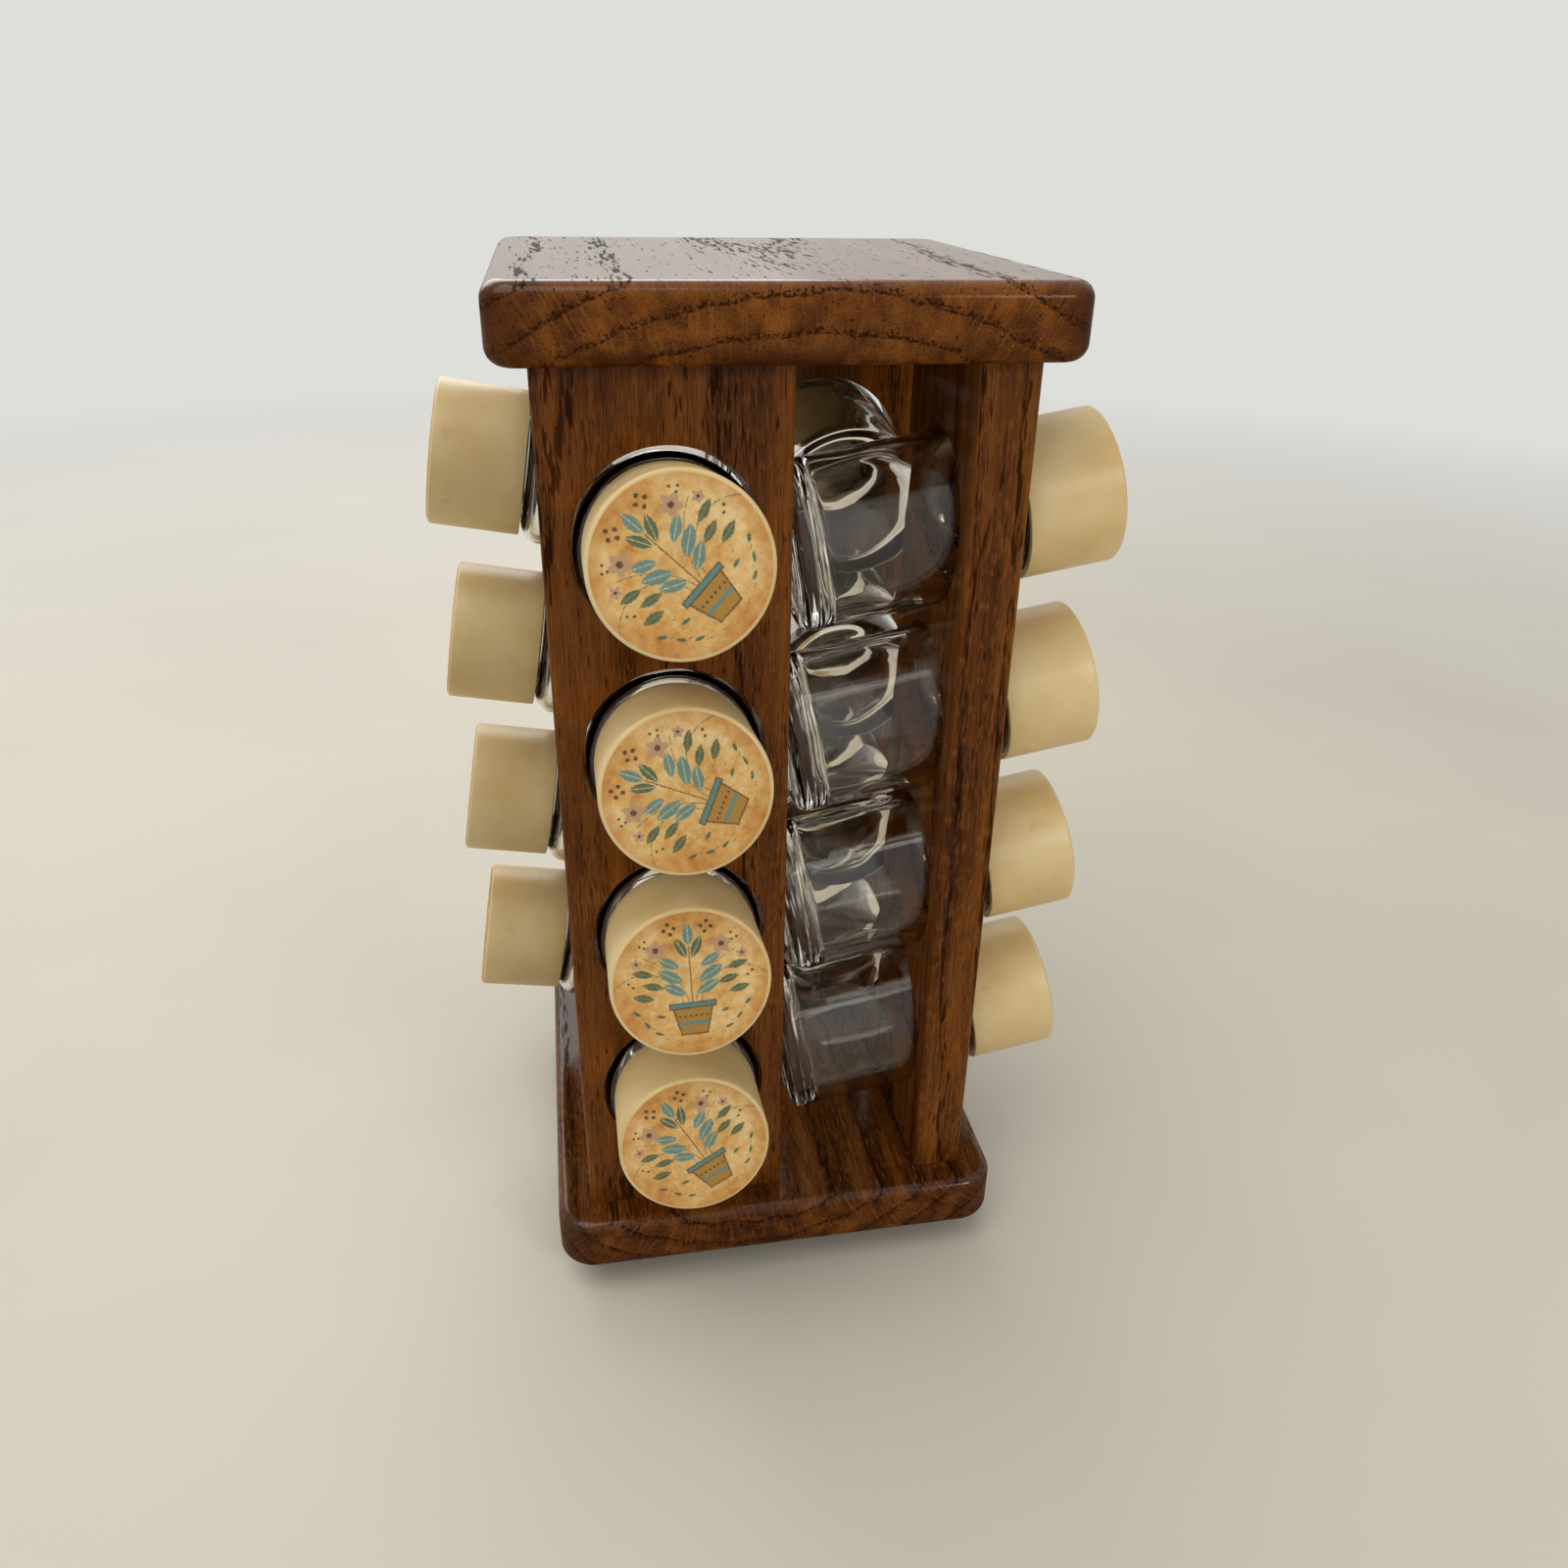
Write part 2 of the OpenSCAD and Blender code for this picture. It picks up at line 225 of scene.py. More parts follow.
class Look:
    """A material, or the world, and the nodes that are added to it."""

    def __init__(self, name, owner=None):
        self.owner = owner or bpy.data.materials.new(name)
        self.owner.use_nodes = True
        self.nodes = self.owner.node_tree.nodes
        self.links = self.owner.node_tree.links
        self.nodes.clear()

    def node(self, kind, settings=None, inputs=None, out=0):
        made = self.nodes.new(kind)
        for name, value in (settings or {}).items():
            if name == "stops":
                self.set_stops(made.color_ramp, value)
            else:
                setattr(made, name, value)
        for key, value in (inputs or {}).items():
            self.feed(made.inputs[key], value)
        return Value(self, made.outputs[out])

    def set_stops(self, ramp, stops):
        while len(ramp.elements) > 1:
            ramp.elements.remove(ramp.elements[-1])
        ramp.elements[0].position = stops[0][0]
        ramp.elements[0].color = (*stops[0][1], 1.0)
        for place, colour in stops[1:]:
            ramp.elements.new(place).color = (*colour, 1.0)

    def feed(self, socket, value):
        if isinstance(value, Value):
            self.links.new(value.socket, socket)
        elif socket.type == "RGBA" and len(value) == 3:
            socket.default_value = (*value, 1.0)
        else:
            socket.default_value = value

    def mix(self, factor, low, high):
        """A colour that goes from low to high as factor goes from 0 to 1."""
        return self.node("ShaderNodeMix", {"data_type": "RGBA"}, {0: factor, 6: low, 7: high}, out=2)

    def vector(self, x, y, z):
        return self.node("ShaderNodeCombineXYZ", None, {0: x, 1: y, 2: z})

    def parts(self, vector):
        split = self.nodes.new("ShaderNodeSeparateXYZ")
        self.links.new(vector.socket, split.inputs[0])
        return [Value(self, socket) for socket in split.outputs]

    def place_mm(self):
        """Object coordinates in millimetres, as three numbers."""
        place = self.node("ShaderNodeTexCoord", out="Object")
        return [part * (1 / MM) for part in self.parts(place)]

    def noise(self, vector, detail=2.0, roughness=0.5):
        """Noise whose cells are 1 unit of vector wide."""
        inputs = {"Vector": vector, "Scale": 1.0, "Detail": detail, "Roughness": roughness}
        return self.node("ShaderNodeTexNoise", None, inputs)

    def bump(self, height, strength, distance):
        return self.node("ShaderNodeBump", None,
                         {"Strength": strength, "Distance": distance, "Height": height})

    def surface(self, **inputs):
        """Ends the material in a Principled shader. Its sockets are named with _ for a space."""
        shader = self.node("ShaderNodeBsdfPrincipled", None,
                           {name.replace("_", " "): value for name, value in inputs.items()})
        return self.finish(shader)

    def seen(self):
        """1 for a ray from the camera, or one that a glossy or clear surface sends on."""
        rays = self.nodes.new("ShaderNodeLightPath")
        direct, mirrored, passed = (
            Value(self, rays.outputs[f"Is {kind} Ray"]) for kind in ("Camera", "Glossy", "Transmission"))
        return direct.most(mirrored).most(passed)

    def finish(self, shader):
        kind = "World" if isinstance(self.owner, bpy.types.World) else "Material"
        end = self.nodes.new(f"ShaderNodeOutput{kind}")
        self.links.new(shader.socket, end.inputs["Surface"])
        return self.owner


def oak(name, rack, blank, low, high):
    """Stained oak, cut from a blank. Its grain runs along one axis, and its growth rings lie round
    a pith line that leans a little. On the plates, painted shade darkens the colour towards the
    corners and along the lower edges, and the base plate's whole colour is painted darker as shade.
    low and high are the corners of the piece in millimetres."""
    look = Look(name)
    seed = blank.seed
    x, y, z = look.place_mm()
    across, depth, length = (x, y, z) if blank.upright else (x, z, y)
    slow = look.noise(look.vector(across / 42 + seed, depth / 42, length / 150), detail=1.0)
    sway = look.noise(look.vector(across / 9, depth / 9 + seed, length / 45), detail=2.0)
    du = across - blank.pith[0] - length * blank.lean[0] + (slow - 0.5) * 14
    dv = depth - blank.pith[1] - length * blank.lean[1] + (sway - 0.5) * 4
    radius = (du * du + dv * dv).root()
    turn = look.node("ShaderNodeMath", {"operation": "ARCTAN2"}, {0: du, 1: dv})
    ring = ((radius - blank.first) / rack.ring_step).fraction()
    early = ring.ramp(0.30, 0.06) * ring.ramp(0.0, 0.05)

    fibres = look.noise(
        look.vector(across / 0.45, depth / 0.45, length / 18 + seed), detail=3.0, roughness=0.6)
    vessels = look.noise(look.vector(across / 0.95 + seed, depth / 0.95, length / 8), detail=1.0)
    ticks = look.noise(look.vector(across / 0.42, depth / 0.42 + seed, length / 6), detail=0.0)
    pores = (vessels + early * 0.22).ramp(0.66, 0.74)
    ticks = (ticks + early * 0.12).ramp(0.68, 0.76)
    rays = look.noise(look.vector(turn * 150 + seed, radius / 9, length / 4), detail=1.0)
    band = look.noise(look.vector(across / 6, depth / 6 + seed, length / 130), detail=2.0)
    cloud = look.noise(look.vector(across / 26 + seed, depth / 26, length / 60), detail=3.0)

    # The last term lowers the whole piece's tone as painted shade; only the base plate has it
    tone = band * 0.60 + fibres * 0.55 + cloud * 0.24 - early * 0.07 + (0.03 - blank.stain)
    ground = look.node("ShaderNodeValToRGB", {"stops": (
        (0.52, rack.wood_deep_and_shade), (0.70, rack.wood_stain), (0.92, rack.wood_light))}, {0: tone})
    ground = look.mix(rays.ramp(0.52, 0.70) * 0.50, ground, rack.wood_light)
    ground = look.mix((pores * 0.75).most(ticks * 0.6), ground, rack.wood_pore)
    # Painted shade on the plates: the colour darkens to the deep stain towards their corners and, in broken
    # patches, along their lower edges
    if not blank.upright:
        shade_patch = look.noise(look.vector(x / 13, y / 13, z / 7 + seed), detail=3.0)
        corner = abs(x).least(abs(y)).ramp(high.x - 15, high.x - 2)
        under = z.ramp(low.z + 8, low.z + 2) * shade_patch.ramp(0.44, 0.54)
        ground = look.mix(corner.most(under) * 0.75, ground, rack.wood_deep_and_shade)

    swell = look.noise(look.vector(x / 7, y / 7, z / 7 + seed), detail=1.0)
    relief = swell * 0.25 - pores * 0.5 + fibres * 0.1
    varnish = 0.30 if blank.upright else z.ramp(high.z - 3, high.z - 1) * 0.65 + 0.25
    return look.surface(
        Base_Color=ground,
        Roughness=0.50 + pores * 0.25 + (swell - 0.5) * 0.08,
        Specular_IOR_Level=0.0,
        Normal=look.bump(relief, 0.25, 0.2 * MM),
        Coat_Weight=(1 - pores * 0.75) * varnish,
        Coat_Roughness=0.14,
        Coat_IOR=1.40,
    )


def clear_glass(rack):
    """Clear pressed glass, which lets light through to what stands behind it."""
    look = Look("clear_glass")
    x, y, z = look.place_mm()
    wave = look.noise(look.vector(x / 9, y / 9, z / 9), detail=1.0)
    body = look.node("ShaderNodeBsdfPrincipled", None, {
        "Base Color": rack.glass_tint,
        "Roughness": 0.01,
        "IOR": 1.40,
        "Transmission Weight": 1.0,
        "Normal": look.bump(wave, 0.12, 0.4 * MM),
    })
    light = look.node("ShaderNodeLightPath", out="Is Shadow Ray")
    through = look.node("ShaderNodeBsdfTransparent", None, {"Color": rack.glass_shadow})
    return look.finish(look.node("ShaderNodeMixShader", None, {0: light, 1: body, 2: through}))


def ivory_plastic(rack):
    """Moulded ivory plastic that has yellowed in patches."""
    look = Look("ivory_plastic")
    x, y, z = look.place_mm()
    drift = look.noise(look.vector(x / 22, y / 22, z / 22), detail=3.0)
    spots = look.noise(look.vector(x / 9 + 40, y / 9, z / 9), detail=3.0, roughness=0.6)
    fine = look.noise(look.vector(x / 1.2, y / 1.2, z / 1.2), detail=2.0)
    colour = look.mix(drift.ramp(0.35, 0.68), rack.cap_pale, rack.cap_aged)
    colour = look.mix(spots.ramp(0.64, 0.78) * 0.5, colour, rack.cap_stain)
    return look.surface(
        Base_Color=colour,
        Roughness=0.33 + fine * 0.10,
        Normal=look.bump(fine * 0.3 + drift, 0.08, 0.3 * MM),
        Subsurface_Weight=0.12,
        Subsurface_Radius=(1.0, 0.7, 0.35),
        Subsurface_Scale=1.5 * MM,
        IOR=1.49,
    )


class Print:
    """The printed face of a label: inks laid in turn over a ground, in units of its radius."""

    def __init__(self, look, ground):
        self.look = look
        self.colour = ground
        place = look.node("ShaderNodeTexCoord", out="UV")
        u, v, _ = look.parts(place)
        grain = look.noise(look.vector(u * 60, v * 60, 0.0), detail=2.0)
        self.ragged = (grain - 0.5) * 0.028
        self.x = u * 2 - 1 + (grain - 0.5) * 0.012
        self.y = v * 2 - 1
        self.fade = grain.ramp(0.25, 0.5) * 0.25 + 0.72

    def lay(self, inside, ink):
        """Lays ink where inside, in radii from the shape's edge, is above 0."""
        mask = (inside + self.ragged).ramp(0.0, INK_EDGE)
        self.colour = self.look.mix(mask * self.fade, self.colour, ink)

    def local(self, x, y, turn, mirrored):
        """Coordinates along and across a shape that lies at x, y and is turned by turn."""
        across = abs(self.x) if mirrored else self.x
        dx = across - x
        dy = self.y - y
        cos_t, sin_t = math.cos(turn), math.sin(turn)
        return dx * cos_t + dy * sin_t, dy * cos_t - dx * sin_t

    def leaf(self, x, y, turn, length, width, ink, vein=None, mirrored=True):
        """An almond leaf about x, y, with a vein along its middle."""
        a, b = self.local(x, y, turn, mirrored)
        share = a / length
        inside = (1 - share * share) * width - abs(b)
        self.lay(inside, ink)
        if vein:
            self.lay(inside.least(VEIN_W - abs(b)), vein)

    def spot(self, x, y, radius, ink):
        """A round dot and its mirror image."""
        a, b = self.local(x, y, 0.0, True)
        self.lay(radius - (a * a + b * b).root(), ink)

    def bar(self, x, y, turn, length, width, ink, mirrored=True, taper=0.0):
        """A bar about x, y. It widens along its length by taper."""
        a, b = self.local(x, y, turn, mirrored)
        self.lay((length - abs(a)).least(width + a * taper - abs(b)), ink)

    def arc(self, x, y, radius, width, low, high, ink):
        """The part of a thin ring about x, y that lies between two heights, and its mirror image."""
        a, b = self.local(x, y, 0.0, True)
        ring = width - abs((a * a + b * b).root() - radius)
        self.lay(ring.least(self.y - low).least(high - self.y), ink)

    def blossom(self, x, y, radius, ink, heart):
        """A round flower whose edge swings in and out, with a heart of another ink."""
        a, b = self.local(x, y, 0.0, True)
        size = (a * a + b * b).root()
        turn = self.look.node("ShaderNodeMath", {"operation": "ARCTAN2"}, {0: a, 1: b})
        swing = self.look.node("ShaderNodeMath", {"operation": "COSINE"}, {0: turn * PETALS})
        self.lay(radius * 0.82 + swing * (radius * 0.18) - size, ink)
        self.lay(radius * 0.30 - size, heart)


def printed_paper(rack):
    """Aged paper printed with a potted bunch of herbs, in a common kitchen manner."""
    look = Look("printed_paper")
    place = look.node("ShaderNodeTexCoord", out="UV")
    u, v, _ = look.parts(place)
    x, y, z = look.place_mm()
    blotch = look.noise(look.vector(u * 3.2, v * 3.2, 0.3), detail=4.0, roughness=0.62)
    mottle = look.noise(look.vector(u * 16, v * 16, 2.0), detail=4.0, roughness=0.65)
    own = look.noise(look.vector(x / 30, y / 30, z / 30), detail=1.0)
    du, dv = u * 2 - 1, v * 2 - 1
    rim = (du * du + dv * dv).root() + (blotch - 0.5) * 0.35
    ground = look.node("ShaderNodeValToRGB", {"stops": (
        (0.30, rack.paper_pale), (0.52, rack.paper_gold), (0.72, rack.paper_burnt))},
        {0: blotch * 0.85 + mottle * 0.65 + (own - 0.5) * 0.2 - 0.27})
    ground = look.mix(rim.ramp(0.76, 1.04) * 0.55, ground, rack.paper_burnt)

    sheet = Print(look, ground)
    teal, brown, ochre = rack.ink_teal, rack.ink_brown, rack.ink_ochre
    rose, green, dark = rack.ink_rose, rack.ink_green, rack.ink_dark
    cream = rack.paper_pale

    # Stems
    sheet.bar(0.0, 0.10, math.pi / 2, 0.44, 0.014, brown, mirrored=False)
    sheet.arc(0.62, -0.30, 0.50, 0.011, -0.26, 0.30, green)
    sheet.arc(0.95, -0.42, 0.92, 0.010, -0.26, 0.44, brown)
    # Leaves along the stems
    for height, side, size in ((-0.06, 0.22, 0.18), (0.13, 0.26, 0.20), (0.32, 0.27, 0.17)):
        sheet.leaf(side, height, 0.55, size, size * 0.42, teal, vein=cream)
    for height, side in ((0.02, 0.49), (0.21, 0.61), (-0.13, 0.62)):
        sheet.leaf(side, height, 0.25, 0.15, 0.060, green, vein=ochre)
    sheet.leaf(0.10, 0.52, 1.15, 0.17, 0.070, green, vein=cream)
    sheet.leaf(0.0, 0.70, math.pi / 2, 0.17, 0.075, teal, vein=cream, mirrored=False)
    # Blossoms, seed heads and berries
    sheet.blossom(0.42, 0.52, 0.150, rose, brown)
    sheet.blossom(0.68, 0.36, 0.085, rose, dark)
    for x_at, y_at in ((0.22, 0.72), (0.30, 0.78), (0.17, 0.80), (0.25, 0.86)):
        sheet.spot(x_at, y_at, 0.034, brown)
    for x_at, y_at in ((0.55, 0.66), (0.62, 0.60), (0.56, 0.57), (0.80, 0.10), (0.74, 0.04)):
        sheet.spot(x_at, y_at, 0.024, dark)
    # Pot, with two bands and a shadow line
    sheet.bar(0.0, -0.50, math.pi / 2, 0.235, 0.235, brown, mirrored=False, taper=0.22)
    sheet.bar(0.0, -0.50, math.pi / 2, 0.215, 0.215, ochre, mirrored=False, taper=0.22)
    sheet.bar(0.0, -0.30, 0.0, 0.315, 0.052, brown, mirrored=False)
    sheet.bar(0.0, -0.30, 0.0, 0.298, 0.036, teal, mirrored=False)
    sheet.bar(0.0, -0.56, 0.0, 0.205, 0.030, teal, mirrored=False)
    for place_x in (0.035, 0.105, 0.175):
        sheet.spot(place_x, -0.455, 0.022, dark)
    # Sprigs and seeds on the ground beside the pot
    for x_at, y_at, turn in ((0.46, -0.66, 0.4), (0.60, -0.52, 0.9), (0.42, -0.42, 0.2), (0.72, -0.34, 0.7)):
        sheet.leaf(x_at, y_at, turn, 0.075, 0.028, green)
    for x_at, y_at in ((0.52, -0.58), (0.38, -0.74), (0.66, -0.42), (0.20, -0.80), (0.50, -0.30)):
        sheet.bar(x_at, y_at, 0.5, 0.032, 0.009, dark)

    fibre = look.noise(look.vector(u * 90, v * 90, 1.0), detail=2.0)
    return look.surface(
        Base_Color=sheet.colour,
        Roughness=0.46 + fibre * 0.12,
        Normal=look.bump(fibre + blotch, 0.10, 0.15 * MM),
    )


def plated_steel(name, colour, roughness, scale):
    """Zinc-plated steel with a faint spangle."""
    look = Look(name)
    x, y, z = look.place_mm()
    spangle = look.noise(look.vector(x / scale, y / scale, z / scale), detail=3.0)
    shade = look.mix(spangle.ramp(0.35, 0.65) * 0.5, colour, tuple(c * 0.6 for c in colour))
    return look.surface(
        Base_Color=shade,
        Metallic=1.0,
        Roughness=roughness + spangle * 0.15,
        Normal=look.bump(spangle, 0.1, 0.1 * MM),
    )


def black_rubber(rack):
    """Soft black rubber with dust in its pores."""
    look = Look("black_rubber")
    x, y, z = look.place_mm()
    grain = look.noise(look.vector(x / 0.8, y / 0.8, z / 0.8), detail=3.0)
    return look.surface(
        Base_Color=look.mix(grain.ramp(0.5, 0.8) * 0.4, rack.rubber, tuple(c * 3 for c in rack.rubber)),
        Roughness=0.7 + grain * 0.2,
        Normal=look.bump(grain, 0.3, 0.15 * MM),
    )


def bare_dowel(rack):
    """Unstained hardwood, end grain and all."""
    look = Look("bare_dowel")
    x, y, z = look.place_mm()
    fibres = look.noise(look.vector(x / 0.4, y / 0.4, z / 9), detail=3.0)
    return look.surface(
        Base_Color=look.mix(fibres, rack.dowel_dark, rack.dowel_pale),
        Roughness=0.6 + fibres * 0.15,
        Normal=look.bump(fibres, 0.3, 0.2 * MM),
    )


def colour_property(name, description, default):
    return bpy.props.FloatVectorProperty(
        name=name, description=description, default=default, subtype="COLOR", size=3, min=0.0, max=1.0)


class RackLooks(bpy.types.PropertyGroup):
    """Colours and sizes that a user would change."""

    wood_light: colour_property("Light wood", "Late wood between the growth rings", srgb(140, 84, 30))
    wood_stain: colour_property("Stain", "Stained oak at its middle tone", srgb(102, 56, 17))
    # Deep stain in the grain, and also the painted shade at the plates' corners and lower edges
    wood_deep_and_shade: colour_property("Deep stain", "Stain that has gathered", srgb(58, 28, 9))
    wood_pore: colour_property("Pores", "Stain in the open pores", srgb(26, 13, 5))
    ring_step: bpy.props.FloatProperty(
        name="Growth ring", description="Distance between growth rings in millimetres",
        default=9.0, min=2.0, max=20.0)
    glass_tint: colour_property("Glass", "Tint of the jars", (0.955, 0.935, 0.90))
    glass_shadow: colour_property("Glass shadow", "Light that a jar lets through", (0.86, 0.88, 0.87))
    cap_pale: colour_property("Cap", "Ivory plastic of the caps", srgb(234, 210, 156))
    cap_aged: colour_property("Aged cap", "Plastic that has yellowed", srgb(222, 192, 130))
    cap_stain: colour_property("Cap stain", "Patches left by spice and light", srgb(200, 150, 82))
    paper_pale: colour_property("Paper", "Palest tone of the labels", srgb(236, 206, 146))
    paper_gold: colour_property("Gold paper", "Middle tone of the labels", srgb(220, 172, 96))
    paper_burnt: colour_property("Burnt paper", "Browned edge of the labels", srgb(190, 122, 52))
    ink_teal: colour_property("Teal ink", "Large leaves and the pot's bands", srgb(92, 138, 132))
    ink_brown: colour_property("Brown ink", "Stems, seed heads and the pot's outline", srgb(82, 54, 26))
    ink_ochre: colour_property("Ochre ink", "The pot", srgb(176, 132, 52))
    ink_rose: colour_property("Rose ink", "Blossoms", srgb(190, 150, 116))
    ink_green: colour_property("Green ink", "Small leaves", srgb(66, 98, 72))
    ink_dark: colour_property("Dark ink", "Berries and seeds", srgb(44, 34, 28))
    steel: colour_property("Steel", "Plated bearing plates and screws", (0.56, 0.56, 0.54))
    rubber: colour_property("Rubber", "Feet", (0.025, 0.025, 0.026))
    dowel_pale: colour_property("Dowel", "Bare wood of the dowels", srgb(214, 180, 132))
    dowel_dark: colour_property("Dowel grain", "Grain of the dowels", srgb(166, 122, 76))
    floor: colour_property("Floor", "Colour of the studio floor", srgb(218, 212, 196))
    backdrop: colour_property("Backdrop", "Colour of the studio backdrop", srgb(222, 222, 219))


def chosen():
    return bpy.context.scene.rack_looks


def deselect():
    bpy.ops.object.select_all(action="DESELECT")


def settle(piece):
    """Puts a piece's place into its mesh and leaves its object at the origin."""
    deselect()
    piece.select_set(True)
    bpy.context.view_layer.objects.active = piece
    bpy.ops.object.transform_apply(location=True, rotation=True, scale=True)
    return piece


def turned(name, outline, segments):
    """Turns an outline of (radius, height) in millimetres round Z, as on a lathe. A ring is drawn
    out and widened for each point, and an end that lies on the axis is closed."""
    deselect()
    radius, height = outline[0]
    radius = max(radius, POLE)
    bpy.ops.mesh.primitive_circle_add(
        vertices=segments, radius=radius * MM, location=(0, 0, height * MM))
    piece = bpy.context.object
    piece.name = name
    piece.data.name = name
    settle(piece)
    bpy.ops.object.mode_set(mode="EDIT")
    bpy.ops.mesh.select_all(action="SELECT")
    for next_radius, next_height in outline[1:]:
        next_radius = max(next_radius, POLE)
        grow = next_radius / radius
        rise = (next_height - height) * MM
        bpy.ops.mesh.extrude_edges_move(TRANSFORM_OT_translate={"value": (0, 0, rise)})
        bpy.ops.transform.resize(value=(grow, grow, 1.0), center_override=(0, 0, next_height * MM))
        radius, height = next_radius, next_height
    bpy.ops.mesh.select_all(action="SELECT")
    bpy.ops.mesh.remove_doubles(threshold=2.5 * POLE * MM)
    bpy.ops.mesh.normals_make_consistent(inside=False)
    bpy.ops.object.mode_set(mode="OBJECT")
    bpy.ops.object.shade_smooth_by_angle(angle=math.radians(50))
    return piece


def arc(centre_r, centre_h, radius, low, high, steps):
    """Points round a centre, from angle low to high in degrees, where 0 points outwards."""
    points = []
    for k in range(steps + 1):
        turn = math.radians(low + (high - low) * k / steps)
        points.append((centre_r + radius * math.cos(turn), centre_h + radius * math.sin(turn)))
    return points


def run(radius, low, high, steps):
    """Points up or down a straight wall, without its two ends."""
    return [(radius, low + (high - low) * k / steps) for k in range(1, steps)]


def jar_outline():
    """Outline of a jar's glass, from the middle of the dish under it, up outside and down inside."""
    punt_r = BODY_R - HEEL_R - PUNT_RING
    inner_r = BODY_R - GLASS_WALL
    inner_top = BODY_H - GLASS_WALL
    inner_shoulder_r = SHOULDER_R - GLASS_WALL
    shoulder_h = BODY_H - SHOULDER_R
    points = [(punt_r * k / 5, PUNT_RISE * (1 - (k / 5) ** 2)) for k in range(5)]
    points += [(punt_r, 0.12), (punt_r + 0.4, 0.0), (BODY_R - HEEL_R - 0.6, 0.0)]
    points += arc(BODY_R - HEEL_R, HEEL_R, HEEL_R, -90, 0, 7)
    points += run(BODY_R, HEEL_R, shoulder_h, 9)
    points += arc(BODY_R - SHOULDER_R, shoulder_h, SHOULDER_R, 0, 88, 8)
    points += [(NECK_R + 0.05, BODY_H + 0.15), (NECK_R, BODY_H + 0.8)]
    points += run(NECK_R, BODY_H + 0.8, JAR_H - LIP_R, 36)
    points += arc(NECK_R - LIP_R, JAR_H - LIP_R, LIP_R, 0, 90, 4)
    points += arc(NECK_BORE_R + 0.7, JAR_H - 0.7, 0.7, 90, 180, 3)
    points += run(NECK_BORE_R, JAR_H - 0.7, inner_top + THROAT_R, 5)
    points += arc(NECK_BORE_R + THROAT_R, inner_top + THROAT_R, THROAT_R, 180, 270, 4)
    points += arc(inner_r - inner_shoulder_r, shoulder_h, inner_shoulder_r, 86, 0, 6)
    points += run(inner_r, shoulder_h, GLASS_BOTTOM + INNER_HEEL_R, 12)
    points += arc(inner_r - INNER_HEEL_R, GLASS_BOTTOM + INNER_HEEL_R, INNER_HEEL_R, 0, -90, 7)
    points += [(12.5, GLASS_BOTTOM + 0.1), (8.0, GLASS_BOTTOM + 0.35), (4.0, GLASS_BOTTOM + 0.5)]
    points += [(0.0, GLASS_BOTTOM + 0.55)]
    return points


def cut_thread(piece):
    """Raises a screw thread on the neck by moving its rings out along a helix."""
    for vertex in piece.data.vertices:
        x, y, z = vertex.co / MM
        radius = math.hypot(x, y)
        if radius < NECK_R - 0.3 or not BODY_H + 1 < z < JAR_H - LIP_R:
            continue
        turn = math.atan2(y, x) / (2 * math.pi) % 1.0
        lift = 0.0
        for lap in range(math.ceil(THREAD_TURNS)):
            along = lap + turn
            ends = min(1.0, along / THREAD_FADE, (THREAD_TURNS - along) / THREAD_FADE)
            if ends <= 0.0:
                continue
            off = (z - THREAD_LOW - along * THREAD_PITCH) / THREAD_W
            lift = max(lift, ends * math.exp(-off * off))
        grow = 1 + THREAD_H * lift / radius
        vertex.co.x *= grow
        vertex.co.y *= grow


def uneven_inside(piece):
    """Makes the inside of the glass slightly uneven, as pressing leaves it."""
    inside = piece.vertex_groups.new(name="inside")
    for vertex in piece.data.vertices:
        x, y, z = vertex.co / MM
        if GLASS_BOTTOM - 1 < z < BODY_H - SHOULDER_R and math.hypot(x, y) < BODY_R - GLASS_WALL / 2:
            inside.add([vertex.index], 1.0, "REPLACE")
    flow = bpy.data.textures.new("glass_flow", "CLOUDS")
    flow.noise_scale = UNEVEN_SPAN * MM
    flow.noise_depth = 1
    press = piece.modifiers.new("press", "DISPLACE")
    press.texture = flow
    press.texture_coords = "LOCAL"
    press.direction = "NORMAL"
    press.mid_level = 0.5
    press.strength = UNEVENNESS * MM
    press.vertex_group = "inside"
    deselect()
    piece.select_set(True)
    bpy.context.view_layer.objects.active = piece
    bpy.ops.object.modifier_apply(modifier="press")
    piece.vertex_groups.clear()


def cap_outline():
    """Outline of a cap's plastic, closed on itself, from its rim up outside and down inside."""
    inner_r = CAP_R - CAP_WALL
    ceiling = CAP_H - CAP_END
    seal_out, seal_in = SEAL_MID + SEAL_T / 2, SEAL_MID - SEAL_T / 2
    points = [(0.0, CAP_H)]
    points += [(CAP_R * 0.5, CAP_H), (CAP_R - CAP_EDGE_R - 0.3, CAP_H)]
    points += arc(CAP_R - CAP_EDGE_R, CAP_H - CAP_EDGE_R, CAP_EDGE_R, 90, 0, 5)
    points += run(CAP_R, CAP_H - CAP_EDGE_R, CAP_RIM_R, 6)
    points += arc(CAP_R - CAP_RIM_R, CAP_RIM_R, CAP_RIM_R, 0, -90, 3)
    points += arc(inner_r + CAP_RIM_R, CAP_RIM_R, CAP_RIM_R, -90, -180, 3)
    points += run(inner_r, CAP_RIM_R, ceiling - 0.3, 5)
    points += [(inner_r - 0.3, ceiling), (seal_out + 0.2, ceiling), (seal_out, ceiling - 0.2)]
    points += [(seal_out, ceiling - SEAL_DEPTH + 0.2), (seal_out - 0.2, ceiling - SEAL_DEPTH)]
    points += [(seal_in + 0.2, ceiling - SEAL_DEPTH), (seal_in, ceiling - SEAL_DEPTH + 0.2)]
    points += [(seal_in, ceiling - 0.2), (seal_in - 0.2, ceiling), (0.0, ceiling)]
    return points


